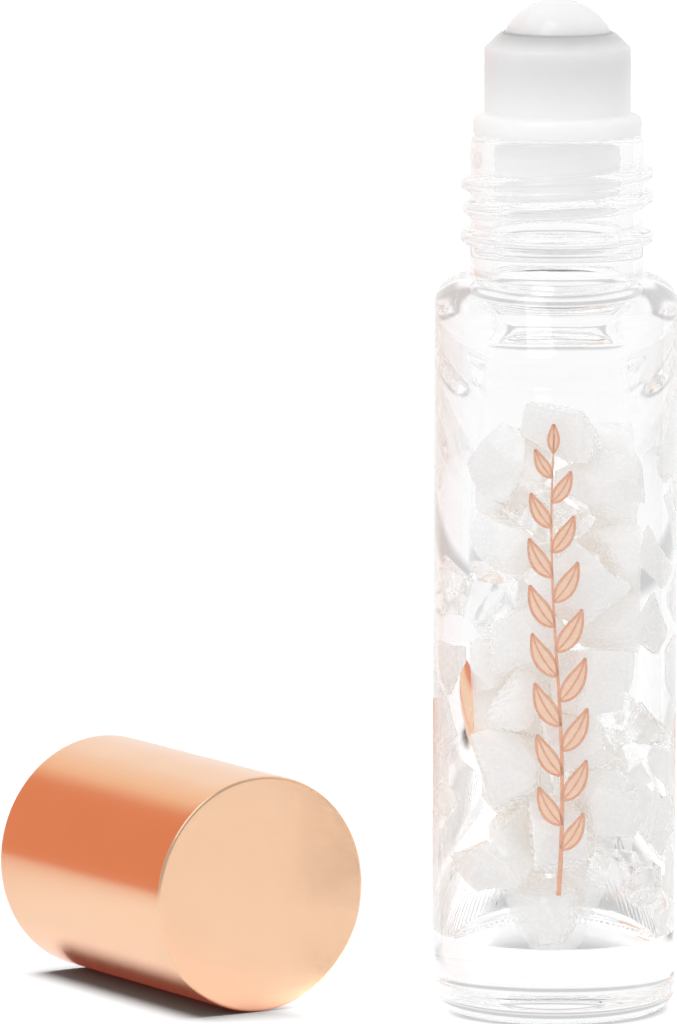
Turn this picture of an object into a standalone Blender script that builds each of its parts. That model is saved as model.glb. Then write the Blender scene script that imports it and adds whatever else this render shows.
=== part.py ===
# A 10 ml roll-on oil bottle: glass, roller fitment, ball, quartz chips, and its metal cap lying beside it.
# Lengths are in metres, +Z is up, and everything stands on the plane Z = 0.
# The origin is the middle of the footprint of the bottle and the cap. The cap lies along Y, closed end at -Y.

import math

import bmesh
import bpy
import numpy as np
from mathutils import Euler, Vector

# Glass bottle
body_diameter = 0.0200
body_wall = 0.00175
body_height = 0.0609
floor_height = 0.0060
floor_corner = 0.0016
base_corner = 0.0018
bearing_ring_width = 0.0015
push_up = 0.0007
shoulder_corner = 0.0025
shoulder_wall = 0.0019
inner_shoulder_corner = 0.0016
neck_diameter = 0.0142
neck_bore = 0.0106
neck_height = 0.0115
neck_foot_corner = 0.0004
bore_mouth_corner = 0.0009
rim_corner = 0.0005
transfer_ring_height = 0.0032
ring_rise = 0.0008
ring_width = 0.0014

# Thread on the neck, and the turns that mate with it in the cap
thread_height = 0.0053
thread_pitch = 0.0020
thread_turns = 2.1
thread_start_angle = math.radians(112)
thread_rise = 0.0008
thread_width = 0.0013
thread_run_out_share = 0.09

# Roller fitment and ball
ball_diameter = 0.0098
ball_rise = 0.00265
housing_diameter = 0.0120
housing_height = 0.0055
housing_cone = 0.00135
housing_corner = 0.0005
lip_width = 0.00018
seat_angle = math.radians(48)
collar_diameter = 0.0138
collar_thickness = 0.0016
collar_corner = 0.0005
plug_length = 0.0062
plug_wall = 0.0012
plug_lead_in = 0.0010
sealing_bead_rise = 0.00012
sealing_bead_width = 0.0009
sealing_bead_count = 2

# Cap
cap_diameter = 0.0196
cap_length = 0.0260
shell_wall = 0.00045
crown_corner = 0.0007
shell_mouth_corner = 0.0001
liner_wall = 0.0010
liner_recess = 0.0006
liner_corner = 0.0004
crown_standoff = 0.00175
liner_rib_count = 8
liner_rib_width = 0.0010
seal_ring_angle = math.radians(50)
seal_ring_width = 0.0009

# Where the cap lies: clear of the bottle along X, and its closed end behind the bottle's axis along Y
cap_beside = 0.0021
cap_behind = 0.0104

# Quartz chips, which fill the bottle up to its headroom. Their lengths are shares of the room for each chip.
headroom = 0.0061
chip_count = 46
chip_length_shares = (0.83, 1.13)
chip_breadth_shares = (0.72, 0.92)
chip_thickness_shares = (0.55, 0.80)
chip_cuts = 11
chip_cut_shares = (0.62, 0.90)
chip_seed = 29
chip_drops = 40
chip_rolls = 300
chip_roll = math.radians(25)
chip_slip = 0.0012
chip_directions = 200
chip_tilt = math.radians(50)
chip_least_slope = 0.02

# Clearances
seat_gap = 0.0001
plug_clearance = 0.00006
ball_clearance = 0.00008
liner_clearance = 0.0001
thread_clearance = 0.0003
closing_gap = 0.0004
chip_clearance = 0.0001
merge_gap = 0.00001
overrun = 0.0001

# Fineness
body_steps = 40
housing_steps = 32
shell_steps = 40
liner_steps = 32
corner_step = math.radians(22.5)
bead_steps = 5
dome_steps = 4
socket_steps = 9
ball_segments = 24
ball_rings = 12
thread_steps = 24
neck_thread_bevel_steps = 2
liner_thread_bevel_steps = 1
smooth_angle = math.radians(35)

# Levels above the surface, worked out from the sizes above
body_radius = body_diameter / 2
bore_radius = body_radius - body_wall
neck_radius = neck_diameter / 2
neck_bore_radius = neck_bore / 2
rim_level = body_height + neck_height
ceiling_level = body_height - shoulder_wall
fill_volume = math.pi * bore_radius**2 * (ceiling_level - headroom - floor_height)
chip_room = (fill_volume / chip_count) ** (1 / 3)
ball_radius = ball_diameter / 2
collar_level = rim_level + seat_gap
housing_level = collar_level + collar_thickness
cone_level = housing_level + housing_height
lip_level = cone_level + housing_cone
ball_level = lip_level + ball_rise - ball_radius
cap_radius = cap_diameter / 2

# The cap closes on the ball, so the level of its mouth on a closed bottle comes from its length
closed_top = ball_level + ball_radius + closing_gap + liner_wall + crown_standoff
closed_mouth = closed_top + liner_clearance + shell_wall - cap_length

# The footprint's middle is the origin
footprint_low = Vector((-body_radius - cap_beside - cap_diameter, min(-body_radius, cap_behind)))
footprint_high = Vector((body_radius, max(body_radius, cap_behind + cap_length)))
footprint_middle = (footprint_low + footprint_high) / 2
bottle_place = Vector((-footprint_middle.x, -footprint_middle.y, 0))
cap_place = bottle_place + Vector((-body_radius - cap_beside - cap_radius, cap_behind, cap_radius))


def clear_scene():
    for obj in list(bpy.data.objects):
        bpy.data.objects.remove(obj)
    for collection in list(bpy.data.collections):
        bpy.data.collections.remove(collection)


def new_collection(name):
    collection = bpy.data.collections.new(name)
    bpy.context.scene.collection.children.link(collection)
    return collection


def new_material(name, colour, roughness, metallic=0, transmission=0, index=1.45):
    material = bpy.data.materials.new(name)
    material.use_nodes = True
    shader = material.node_tree.nodes["Principled BSDF"]
    shader.inputs["Base Color"].default_value = (*colour, 1)
    shader.inputs["Roughness"].default_value = roughness
    shader.inputs["Metallic"].default_value = metallic
    shader.inputs["Transmission Weight"].default_value = transmission
    shader.inputs["IOR"].default_value = index
    return material


def add_object(name, mesh, collection, parent=None, location=(0, 0, 0), rotation=(0, 0, 0)):
    obj = bpy.data.objects.new(name, mesh)
    collection.objects.link(obj)
    obj.parent = parent
    obj.location = location
    obj.rotation_euler = rotation
    return obj


def arc(centre, radius, start, end, steps):
    angles = [start + (end - start) * i / steps for i in range(steps + 1)]
    return [(centre[0] + radius * math.cos(a), centre[1] + radius * math.sin(a)) for a in angles]


# Rounds the corners of an outline. Each point is (radius, height) or (radius, height, corner radius). Corners
# that meet on a short side share it.
def rounded(points):
    spots = [Vector(point[:2]) for point in points]
    sides = [spots[(i + 1) % len(spots)] - spot for i, spot in enumerate(spots)]
    halves = [(-sides[i - 1]).angle(side) / 2 for i, side in enumerate(sides)]
    reaches = [sum(point[2:]) / math.tan(half) for point, half in zip(points, halves)]
    outline = []
    for i, here in enumerate(spots):
        if not reaches[i]:
            outline.append(tuple(here))
            continue
        before = -sides[i - 1]
        after = sides[i]
        half = halves[i]
        room_before = before.length / (reaches[i - 1] + reaches[i])
        room_after = after.length / (reaches[i] + reaches[(i + 1) % len(spots)])
        reach = reaches[i] * min(1, room_before, room_after)
        corner = reach * math.tan(half)
        centre = here + (before.normalized() + after.normalized()).normalized() * corner / math.sin(half)
        first = here + before.normalized() * reach - centre
        turn = first.angle_signed(here + after.normalized() * reach - centre)
        start = math.atan2(first.y, first.x)
        steps = max(1, round(abs(turn) / corner_step))
        outline += arc(centre, corner, start, start - turn, steps)
    return outline


# A half-round bead that stands out of a wall, from its top to its foot.
def bead(wall, level, rise, width):
    turns = [math.pi * i / bead_steps for i in range(bead_steps + 1)]
    return [(wall + rise * math.sin(t), level + width / 2 * math.cos(t)) for t in turns]


# The shallow dome under the base, from its rim in to the axis.
def dome(rim, rise):
    shares = [i / dome_steps for i in range(dome_steps + 1)]
    return [(rim * (1 - s), rise * (1 - (1 - s) ** 2)) for s in shares]


# Turns an outline about Z. It runs down the outer side. A closed one goes round a bore and misses the axis.
def turned(name, outline, steps, collection, parent, closed=False, location=(0, 0, 0)):
    mesh = bpy.data.meshes.new(name)
    links = [(i, i + 1) for i in range(len(outline) - 1)]
    if closed:
        links.append((len(outline) - 1, 0))
    mesh.from_pydata([(r, 0, z) for r, z in outline], links, [])
    obj = add_object(name, mesh, collection, parent, location)
    screw = obj.modifiers.new("turn", "SCREW")
    screw.steps = steps
    screw.render_steps = steps
    screw.use_merge_vertices = True
    screw.merge_threshold = merge_gap
    screw.use_smooth_shade = True
    return obj


# A helical bead on a wall: it swells out of the wall, winds up, and sinks into it again. Out is 1, or -1 for
# a bead that stands inwards.
def helical_bead(name, wall, level, out, width, bevel_steps, collection, parent):
    curve = bpy.data.curves.new(name, "CURVE")
    curve.dimensions = "3D"
    curve.twist_mode = "Z_UP"
    curve.bevel_depth = width / 2
    curve.bevel_resolution = bevel_steps
    curve.use_fill_caps = True
    spline = curve.splines.new("POLY")
    count = round(thread_turns * thread_steps)
    spline.points.add(count)
    for i, point in enumerate(spline.points):
        share = i / count
        swell = min(1, share / thread_run_out_share, (1 - share) / thread_run_out_share)
        swell = max(math.sin(swell * math.pi / 2), merge_gap / width)
        angle = thread_start_angle + share * thread_turns * 2 * math.pi
        centre = wall + out * (swell * (thread_rise - width / 2) - (1 - swell) * overrun)
        height = level + share * thread_turns * thread_pitch
        point.co = (centre * math.cos(angle), centre * math.sin(angle), height, 1)
        point.radius = swell
    return meshed(add_object(name, curve, collection, parent), collection)


# Replaces a curve object by the mesh that it draws, with its caps joined on.
def meshed(curve_object, collection):
    bpy.context.view_layer.update()
    graph = bpy.context.evaluated_depsgraph_get()
    mesh = bpy.data.meshes.new_from_object(curve_object.evaluated_get(graph))
    bm = bmesh.new()
    bm.from_mesh(mesh)
    bmesh.ops.remove_doubles(bm, verts=bm.verts, dist=merge_gap)
    bmesh.ops.recalc_face_normals(bm, faces=bm.faces)
    bm.to_mesh(mesh)
    bm.free()
    name = curve_object.name
    parent = curve_object.parent
    bpy.data.objects.remove(curve_object)
    return add_object(name, mesh, collection, parent)


def join(obj, others):
    for other in others:
        other.hide_render = True
        other.display_type = "WIRE"
        union = obj.modifiers.new(other.name, "BOOLEAN")
        union.operation = "UNION"
        union.solver = "EXACT"
        union.object = other


# Settles an object's modifiers into its mesh, and shades it smooth between its edges.
def finish(obj, material):
    bpy.context.view_layer.update()
    graph = bpy.context.evaluated_depsgraph_get()
    mesh = bpy.data.meshes.new_from_object(obj.evaluated_get(graph))
    mesh.name = obj.name
    obj.modifiers.clear()
    obj.data = mesh
    mesh.materials.clear()
    mesh.materials.append(material)
    mesh.shade_smooth()
    mesh.set_sharp_from_angle(angle=smooth_angle)


# Glass bottle: inside from the floor up, over the rim, and down the outside to the middle of the base.
def glass_bottle(collection, helpers, parent):
    ring_inner = body_radius - base_corner - bearing_ring_width
    outline = rounded([
        (0, floor_height),
        (bore_radius, floor_height, floor_corner),
        (bore_radius, ceiling_level, inner_shoulder_corner),
        (neck_bore_radius, ceiling_level, bore_mouth_corner),
        (neck_bore_radius, rim_level, rim_corner),
        (neck_radius, rim_level, rim_corner),
        (neck_radius, body_height + transfer_ring_height + ring_width / 2),
    ])
    outline += bead(neck_radius, body_height + transfer_ring_height, ring_rise, ring_width)[1:-1]
    outline += rounded([
        (neck_radius, body_height + transfer_ring_height - ring_width / 2),
        (neck_radius, body_height, neck_foot_corner),
        (body_radius, body_height, shoulder_corner),
        (body_radius, 0, base_corner),
        (ring_inner, 0),
    ])
    outline += dome(ring_inner, push_up)[1:]
    glass = turned("glass_bottle", outline, body_steps, collection, parent)
    level = body_height + thread_height
    thread = helical_bead(
        "neck_thread", neck_radius, level, 1, thread_width, neck_thread_bevel_steps, helpers, parent
    )
    join(glass, [thread])
    finish(glass, new_material("clear glass", (0.93, 0.95, 0.95), 0.02, transmission=1, index=1.5))


# Roller fitment: one closed outline round its oil channel, from the channel's foot up the socket and down the
# outside.
def roller_housing(collection, parent):
    socket_radius = ball_radius + ball_clearance
    lip_angle = math.asin((lip_level - ball_level) / socket_radius)
    seat_radius = socket_radius * math.cos(seat_angle)
    plug_radius = neck_bore_radius - plug_clearance - sealing_bead_rise
    channel_radius = plug_radius - plug_wall
    plug_level = collar_level - plug_length
    housing_radius = housing_diameter / 2
    lip_radius = socket_radius * math.cos(lip_angle) + lip_width
    seat_level = ball_level - socket_radius * math.sin(seat_angle)
    funnel_foot = seat_level - abs(seat_radius - channel_radius)
    outline = [(channel_radius, plug_level), (channel_radius, funnel_foot)]
    outline += arc((0, ball_level), socket_radius, -seat_angle, lip_angle, socket_steps)
    outline += rounded([
        (lip_radius, lip_level),
        (housing_radius, cone_level, housing_corner),
        (housing_radius, housing_level),
        (collar_diameter / 2, housing_level, collar_corner),
        (collar_diameter / 2, collar_level),
        (plug_radius, collar_level),
    ])
    spacing = (plug_length - plug_lead_in) / (sealing_bead_count + 1)
    for i in range(sealing_bead_count):
        level = collar_level - spacing * (i + 1)
        outline += bead(plug_radius, level, sealing_bead_rise, sealing_bead_width)
    outline += [(plug_radius, plug_level + plug_lead_in), (plug_radius - plug_wall / 2, plug_level)]
    about_ball = [(r, z - ball_level) for r, z in outline]
    place = (0, 0, ball_level)
    housing = turned("roller_housing", about_ball, housing_steps, collection, parent, True, place)
    finish(housing, new_material("milky polyethylene", (0.90, 0.91, 0.91), 0.35, transmission=0.4))


def roller_ball(collection, parent):
    mesh = bpy.data.meshes.new("roller_ball")
    bm = bmesh.new()
    bmesh.ops.create_uvsphere(bm, u_segments=ball_segments, v_segments=ball_rings, radius=ball_radius)
    bm.to_mesh(mesh)
    bm.free()
    ball = add_object("roller_ball", mesh, collection, parent, (0, 0, ball_level))
    finish(ball, new_material("milky white ball", (0.92, 0.92, 0.92), 0.12))


# Cap overshell, modelled mouth down with its closed end up, as it sits on a bottle.
def cap_shell(collection, parent):
    inner = cap_radius - shell_wall
    outline = rounded([
        (0, cap_length),
        (cap_radius, cap_length, crown_corner),
        (cap_radius, 0, shell_mouth_corner),
        (inner, 0, shell_mouth_corner),
        (inner, cap_length - shell_wall, crown_corner - shell_wall / 2),
        (0, cap_length - shell_wall),
    ])
    shell = turned("cap_shell", outline, shell_steps, collection, parent)
    finish(shell, new_material("rose gold aluminium", (0.87, 0.53, 0.38), 0.25, metallic=1))


# Cap liner, in the same pose: a threaded skirt, a step to the narrow crown that covers the fitment, and a ring
# in the crown that closes on the ball.
def cap_liner(collection, helpers, parent):
    outer = cap_radius - shell_wall - liner_clearance
    thread_room = neck_radius + thread_rise + thread_clearance
    step_level = housing_level - closed_mouth + thread_clearance
    crown_inner = housing_diameter / 2 + thread_clearance
    crown_outer = crown_inner + liner_wall
    ceiling = ball_level + ball_radius + closing_gap - closed_mouth
    top = closed_top - closed_mouth
    seal_radius = ball_radius * math.cos(seal_ring_angle)
    seal_level = ball_level + ball_radius * math.sin(seal_ring_angle) + closing_gap - closed_mouth
    outline = rounded([
        (0, ceiling + liner_wall),
        (crown_outer, ceiling + liner_wall, liner_corner),
        (crown_outer, step_level + liner_wall),
        (outer, step_level + liner_wall, liner_corner),
        (outer, liner_recess),
        (thread_room, liner_recess, liner_corner),
        (thread_room, step_level),
        (crown_inner, step_level, liner_corner),
        (crown_inner, ceiling),
        (seal_radius + seal_ring_width / 2, ceiling),
        (seal_radius + seal_ring_width / 4, seal_level),
        (seal_radius - seal_ring_width / 4, seal_level),
        (seal_radius - seal_ring_width / 2, ceiling),
        (0, ceiling),
    ])
    liner = turned("cap_liner", outline, liner_steps, collection, parent)
    thread = helical_bead(
        "liner_thread",
        thread_room,
        body_height + thread_height - closed_mouth + thread_pitch / 2,
        -1,
        thread_width - thread_clearance,
        liner_thread_bevel_steps,
        helpers,
        parent,
    )
    rib_foot = step_level + liner_wall - overrun
    ribs = liner_ribs(crown_outer - liner_wall / 2, outer - crown_corner, rib_foot, top, helpers, parent)
    join(liner, [thread, *ribs])
    finish(liner, new_material("white polypropylene", (0.86, 0.86, 0.85), 0.4))


# The ribs beside the liner's narrow crown, which hold off the overshell's closed end.
def liner_ribs(inside, outside, low, high, helpers, parent):
    ribs = []
    for i in range(liner_rib_count):
        mesh = bpy.data.meshes.new("liner_rib")
        bm = bmesh.new()
        bmesh.ops.create_cube(bm, size=1)
        bmesh.ops.scale(bm, vec=(outside - inside, liner_rib_width, high - low), verts=bm.verts)
        bmesh.ops.translate(bm, vec=((inside + outside) / 2, 0, (low + high) / 2), verts=bm.verts)
        bm.to_mesh(mesh)
        bm.free()
        turn = 2 * math.pi * (i + 1 / 2) / liner_rib_count
        ribs.append(add_object(f"liner_rib_{i + 1}", mesh, helpers, parent, rotation=(0, 0, turn)))
    return ribs


# A chip of broken quartz: a block with its corners and edges struck off by flat cuts.
def chip_mesh(name, rng):
    length = chip_room * rng.uniform(*chip_length_shares)
    breadth = length * rng.uniform(*chip_breadth_shares)
    thickness = length * rng.uniform(*chip_thickness_shares)
    bm = bmesh.new()
    bmesh.ops.create_cube(bm, size=1)
    bmesh.ops.scale(bm, vec=(length, breadth, thickness), verts=bm.verts)
    for _ in range(chip_cuts):
        direction = Vector(rng.normal(size=3)).normalized()
        reach = max(v.co.dot(direction) for v in bm.verts)
        plane = direction * reach * rng.uniform(*chip_cut_shares)
        geometry = bm.verts[:] + bm.edges[:] + bm.faces[:]
        cut = bmesh.ops.bisect_plane(
            bm, geom=geometry, dist=merge_gap, plane_co=plane, plane_no=direction, clear_outer=True
        )
        edges = [e for e in cut["geom_cut"] if isinstance(e, bmesh.types.BMEdge)]
        bmesh.ops.holes_fill(bm, edges=edges)
    bmesh.ops.remove_doubles(bm, verts=bm.verts, dist=merge_gap)
    bmesh.ops.recalc_face_normals(bm, faces=bm.faces)
    mesh = bpy.data.meshes.new(name)
    bm.to_mesh(mesh)
    bm.free()
    return mesh


# Height of the rounded inner floor at each distance from the axis.
def floor_under(distance):
    past = np.clip(distance - (bore_radius - floor_corner), 0, floor_corner)
    return floor_height + floor_corner - np.sqrt(floor_corner**2 - past**2)


# Directions spread evenly over the upper half of a sphere.
def upward_directions(count):
    index = np.arange(count) + 1 / 2
    height = 1 - index / count
    across = np.sqrt(1 - height**2)
    turn = index * math.pi * (1 + math.sqrt(5))
    return np.stack([across * np.cos(turn), across * np.sin(turn), height], axis=1)


# The chips that already lie in the bore, with how far each reaches along many directions that point up.
class Heap:
    def __init__(self):
        self.directions = upward_directions(chip_directions)
        self.corners = np.empty((0, 3))
        self.starts = []
        self.count = 0

    # Every chip's reach along each direction, one row for each chip.
    def reaches(self, directions):
        return np.maximum.reduceat(self.corners @ directions.T, self.starts, axis=0)

    def add(self, corners, normals):
        self.starts.append(len(self.corners))
        self.corners = np.concatenate([self.corners, corners])
        self.directions = np.concatenate([self.directions, normals[normals[:, 2] > chip_least_slope]])
        self.known_reaches = self.reaches(self.directions)
        self.count += 1

    # How far a chip has to be lifted to lie on the others: it parts from each along a direction that points up.
    def lift_over(self, corners, normals):
        distance = np.hypot(corners[:, 0], corners[:, 1]) + chip_clearance
        lift = (floor_under(distance) + chip_clearance - corners[:, 2]).max()
        if not self.count:
            return lift
        under = -normals[normals[:, 2] < -chip_least_slope]
        directions = np.concatenate([self.directions, under])
        reaches = np.concatenate([self.known_reaches, self.reaches(under)], axis=1)
        apart = reaches + chip_clearance - (corners @ directions.T).min(axis=0)
        return max(lift, (apart / directions[:, 2]).min(axis=1).max())


# Lets one chip down into the bore: first anywhere, and then it rolls and slips about the lowest place found.
def settle(corners, normals, heap, rng):
    room = bore_radius * math.cos(math.pi / body_steps) - chip_clearance
    best = None
    for step in range(chip_drops + chip_rolls):
        if step < chip_drops or best is None:
            turn = Euler((*rng.normal(0, chip_tilt, 2), rng.uniform(-math.pi, math.pi))).to_matrix()
            away = room * math.sqrt(rng.uniform())
            bearing = rng.uniform(0, 2 * math.pi)
            middle = np.array([away * math.cos(bearing), away * math.sin(bearing), 0])
        else:
            freedom = 1 - (step - chip_drops) / chip_rolls
            turn = Euler(rng.normal(0, chip_roll * freedom, 3)).to_matrix() @ best[1]
            middle = best[2] * (1, 1, 0) + np.array([*rng.normal(0, chip_slip * freedom, 2), 0])
        place = corners @ np.array(turn).T + middle
        if np.hypot(place[:, 0], place[:, 1]).max() > room:
            continue
        lift = heap.lift_over(place, normals @ np.array(turn).T)
        level = lift + place[:, 2].mean()
        if best is None or level < best[0]:
            best = (level, turn, middle + (0, 0, lift), place + (0, 0, lift))
    return best


def quartz_chips(collection, parent):
    rng = np.random.default_rng(chip_seed)
    quartz = new_material("milky quartz", (0.93, 0.92, 0.90), 0.15, transmission=0.8, index=1.54)
    heap = Heap()
    for _ in range(chip_count):
        mesh = chip_mesh(f"quartz_chip_{heap.count + 1:02d}", rng)
        corners = np.array([v.co for v in mesh.vertices])
        normals = np.array([f.normal for f in mesh.polygons])
        _, turn, middle, place = settle(corners, normals, heap, rng)
        heap.add(place, normals @ np.array(turn).T)
        mesh.materials.append(quartz)
        add_object(mesh.name, mesh, collection, parent, middle, turn.to_euler())


def main():
    clear_scene()
    parts = new_collection("roll_on_bottle")
    helpers = new_collection("joined_helpers")
    bottle = add_object("bottle_axis", None, parts, location=bottle_place)
    cap = add_object("cap_axis", None, parts, location=cap_place)
    # The cap's own axis, mouth to closed end, lies along -Y.
    cap_seat = add_object("cap_mouth", None, parts, cap, (0, cap_length, 0), (math.pi / 2, 0, 0))
    glass_bottle(parts, helpers, bottle)
    roller_housing(parts, bottle)
    roller_ball(parts, bottle)
    quartz_chips(parts, bottle)
    cap_shell(parts, cap_seat)
    cap_liner(parts, helpers, cap_seat)


main()
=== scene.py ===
# Looks for the roll-on bottle: clear glass, quartz chips, milky roller fitment and a rose gold cap.
# Lengths in the dictionaries are millimetres unless a name says otherwise. A cloudy texture has its scale,
# detail, roughness and distortion there, levels are the two ends of a change, a bump is strength and depth.

import math

import bmesh
import bpy
import numpy as np
from mathutils import Matrix, Vector, noise


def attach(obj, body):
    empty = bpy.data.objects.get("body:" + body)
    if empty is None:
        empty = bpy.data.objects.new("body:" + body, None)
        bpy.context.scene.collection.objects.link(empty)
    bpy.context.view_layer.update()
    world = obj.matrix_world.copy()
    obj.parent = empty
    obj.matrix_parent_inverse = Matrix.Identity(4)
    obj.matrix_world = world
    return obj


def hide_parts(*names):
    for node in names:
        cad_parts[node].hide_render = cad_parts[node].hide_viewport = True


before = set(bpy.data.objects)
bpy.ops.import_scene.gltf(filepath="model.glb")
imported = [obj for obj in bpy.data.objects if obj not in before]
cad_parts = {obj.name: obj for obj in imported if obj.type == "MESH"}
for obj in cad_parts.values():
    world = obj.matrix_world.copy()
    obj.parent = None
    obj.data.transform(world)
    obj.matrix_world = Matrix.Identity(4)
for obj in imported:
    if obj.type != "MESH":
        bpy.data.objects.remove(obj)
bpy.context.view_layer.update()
mm = 0.001
hair = 0.001  # in millimetres, tells one wall of a turned piece from the next
print("frame loaded")


# Shader maths: a wrapped socket takes part in plain expressions, and each sign adds its Math node
class Value:
    def __init__(self, shader, socket):
        self.shader = shader
        self.socket = socket

    def maths(self, operation, *terms):
        return self.shader.add("ShaderNodeMath", {"operation": operation}, dict(enumerate(terms)))

    def __add__(self, other):
        return self.maths("ADD", self, other)

    def __radd__(self, other):
        return self.maths("ADD", other, self)

    def __sub__(self, other):
        return self.maths("SUBTRACT", self, other)

    def __rsub__(self, other):
        return self.maths("SUBTRACT", other, self)

    def __mul__(self, other):
        return self.maths("MULTIPLY", self, other)

    def __rmul__(self, other):
        return self.maths("MULTIPLY", other, self)

    def __truediv__(self, other):
        return self.maths("DIVIDE", self, other)

    def __rtruediv__(self, other):
        return self.maths("DIVIDE", other, self)

    def __gt__(self, other):
        return self.maths("GREATER_THAN", self, other)

    def __lt__(self, other):
        return self.maths("LESS_THAN", self, other)


# One node tree, of a material or of the world
class Shader:
    def __init__(self, owner):
        owner.use_nodes = True
        self.owner = owner
        self.tree = owner.node_tree
        self.tree.nodes.clear()

    def add(self, kind, settings=None, inputs=None, output=0):
        node = self.tree.nodes.new(kind)
        for name, setting in (settings or {}).items():
            if name == "stops":
                while len(node.color_ramp.elements) < len(setting):
                    node.color_ramp.elements.new(1)
                for element, (position, colour) in zip(node.color_ramp.elements, setting):
                    element.position = position
                    element.color = colour
            else:
                setattr(node, name, setting)
        for name, value in (inputs or {}).items():
            if isinstance(value, Value):
                self.tree.links.new(value.socket, node.inputs[name])
            else:
                node.inputs[name].default_value = value
        return Value(self, node.outputs[output]) if node.outputs else node

    # Object space in millimetres, so a scale of 1 in a texture is one feature to the millimetre
    def place(self, stretch=(1, 1, 1)):
        spot = self.add("ShaderNodeTexCoord", output="Object")
        scale = tuple(s / mm for s in stretch)
        return self.add("ShaderNodeVectorMath", {"operation": "MULTIPLY"}, {0: spot, 1: scale})

    def cloud(self, place, scale, detail=3, roughness=0.5, distortion=0):
        return self.add("ShaderNodeTexNoise", {}, {
            "Vector": place, "Scale": scale, "Detail": detail, "Roughness": roughness,
            "Distortion": distortion,
        })

    # A colour that goes from the first tint to the second
    def ramp(self, factor, levels, tints):
        return self.add("ShaderNodeValToRGB", {"stops": list(zip(levels, tints))}, {"Fac": factor})

    # 0 on low's side and 1 on high's side, with an even slope from low to high
    def between(self, factor, low, high):
        inputs = {"Value": factor, "From Min": low, "From Max": high}
        return self.add("ShaderNodeMapRange", {"clamp": True}, inputs)

    # 1 from the first level to the second, with soft ends
    def window(self, value, low, high, soft=0.01):
        above = self.between(value, high - soft, high + soft)
        return self.between(value, low - soft, low + soft) * (1 - above)

    def mixed(self, factor, first, second):
        return self.add("ShaderNodeMix", {"data_type": "RGBA"}, {0: factor, 6: first, 7: second}, 2)

    def axis(self, vector, name):
        return self.add("ShaderNodeSeparateXYZ", {}, {"Vector": vector}, output=name)

    # The distance is in millimetres
    def bump(self, height, strength, distance):
        inputs = {"Height": height, "Strength": strength, "Distance": distance * mm}
        return self.add("ShaderNodeBump", {}, inputs)

    def surface(self, **sockets):
        named = {name.replace("_", " "): value for name, value in sockets.items()}
        return self.add("ShaderNodeBsdfPrincipled", {}, named)

    def finish(self, surface):
        self.add("ShaderNodeOutputMaterial", {}, {"Surface": surface})
        return self.owner


def newShader(name):
    return Shader(bpy.data.materials.new(name))


def grey(level):
    return (level, level, level, 1)


# Rounds the corners of a turned outline. A point is (radius, height) or (radius, height, corner), and
# corners that meet on a short side share it
def rounded(points, stepDegrees=4):
    spots = [Vector(point[:2]) for point in points]
    sides = [spots[(i + 1) % len(spots)] - spot for i, spot in enumerate(spots)]
    halves = [(-sides[i - 1]).angle(side) / 2 for i, side in enumerate(sides)]
    reaches = [sum(point[2:]) / math.tan(half) for point, half in zip(points, halves)]
    outline = []
    for i, here in enumerate(spots):
        if not reaches[i]:
            outline.append((here.x, here.y))
            continue
        before, after, half = -sides[i - 1], sides[i], halves[i]
        roomBefore = before.length / (reaches[i - 1] + reaches[i])
        roomAfter = after.length / (reaches[i] + reaches[(i + 1) % len(spots)])
        reach = reaches[i] * min(1, roomBefore, roomAfter)
        corner = reach * math.tan(half)
        inward = (before.normalized() + after.normalized()).normalized()
        centre = here + inward * corner / math.sin(half)
        first = here + before.normalized() * reach - centre
        turn = first.angle_signed(here + after.normalized() * reach - centre)
        start = math.atan2(first.y, first.x)
        steps = max(2, round(abs(math.degrees(turn)) / stepDegrees))
        for k in range(steps + 1):
            angle = start - turn * k / steps
            outline.append((centre.x + corner * math.cos(angle), centre.y + corner * math.sin(angle)))
    return outline


# Adds points along the straight stretches, so that the surface can be shaped there
def spaced(outline, gap, slack=0.001):
    points = [outline[0]]
    for (r0, z0), (r1, z1) in zip(outline, outline[1:]):
        count = max(1, math.ceil(math.hypot(r1 - r0, z1 - z0) / gap - slack))
        for k in range(1, count + 1):
            points.append((r0 + (r1 - r0) * k / count, z0 + (z1 - z0) * k / count))
    return points


# Turns an outline about Z. The shape function may move each point in radius and height
def turned(name, outline, columns, shape=None, closed=False):
    radius = np.array([[r] for r, z in outline]) * np.ones(columns)
    height = np.array([[z] for r, z in outline]) * np.ones(columns)
    angle = np.ones((len(outline), 1)) * np.arange(columns) * 2 * math.pi / columns
    if shape:
        radius, height = shape(radius, angle, height)
    points = np.stack([radius * np.cos(angle), radius * np.sin(angle), height], axis=2).reshape(-1, 3)
    rows = [list(range(i * columns, (i + 1) * columns)) for i in range(len(outline))]
    faces = []
    for i in range(len(rows) - (0 if closed else 1)):
        low, high = rows[i], rows[(i + 1) % len(rows)]
        for k in range(columns):
            faces.append((low[k], low[k - 1], high[k - 1], high[k]))
    return makePiece(name, points * mm, faces)


def makePiece(name, points, faces, mergeGap=0.0005):
    mesh = bpy.data.meshes.new(name)
    mesh.from_pydata([tuple(p) for p in points], [], faces)
    bm = bmesh.new()
    bm.from_mesh(mesh)
    bmesh.ops.remove_doubles(bm, verts=bm.verts, dist=mergeGap * mm)
    bmesh.ops.recalc_face_normals(bm, faces=bm.faces)
    bm.to_mesh(mesh)
    bm.free()
    mesh.shade_smooth()
    piece = bpy.data.objects.new(name, mesh)
    bpy.context.scene.collection.objects.link(piece)
    return piece


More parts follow.
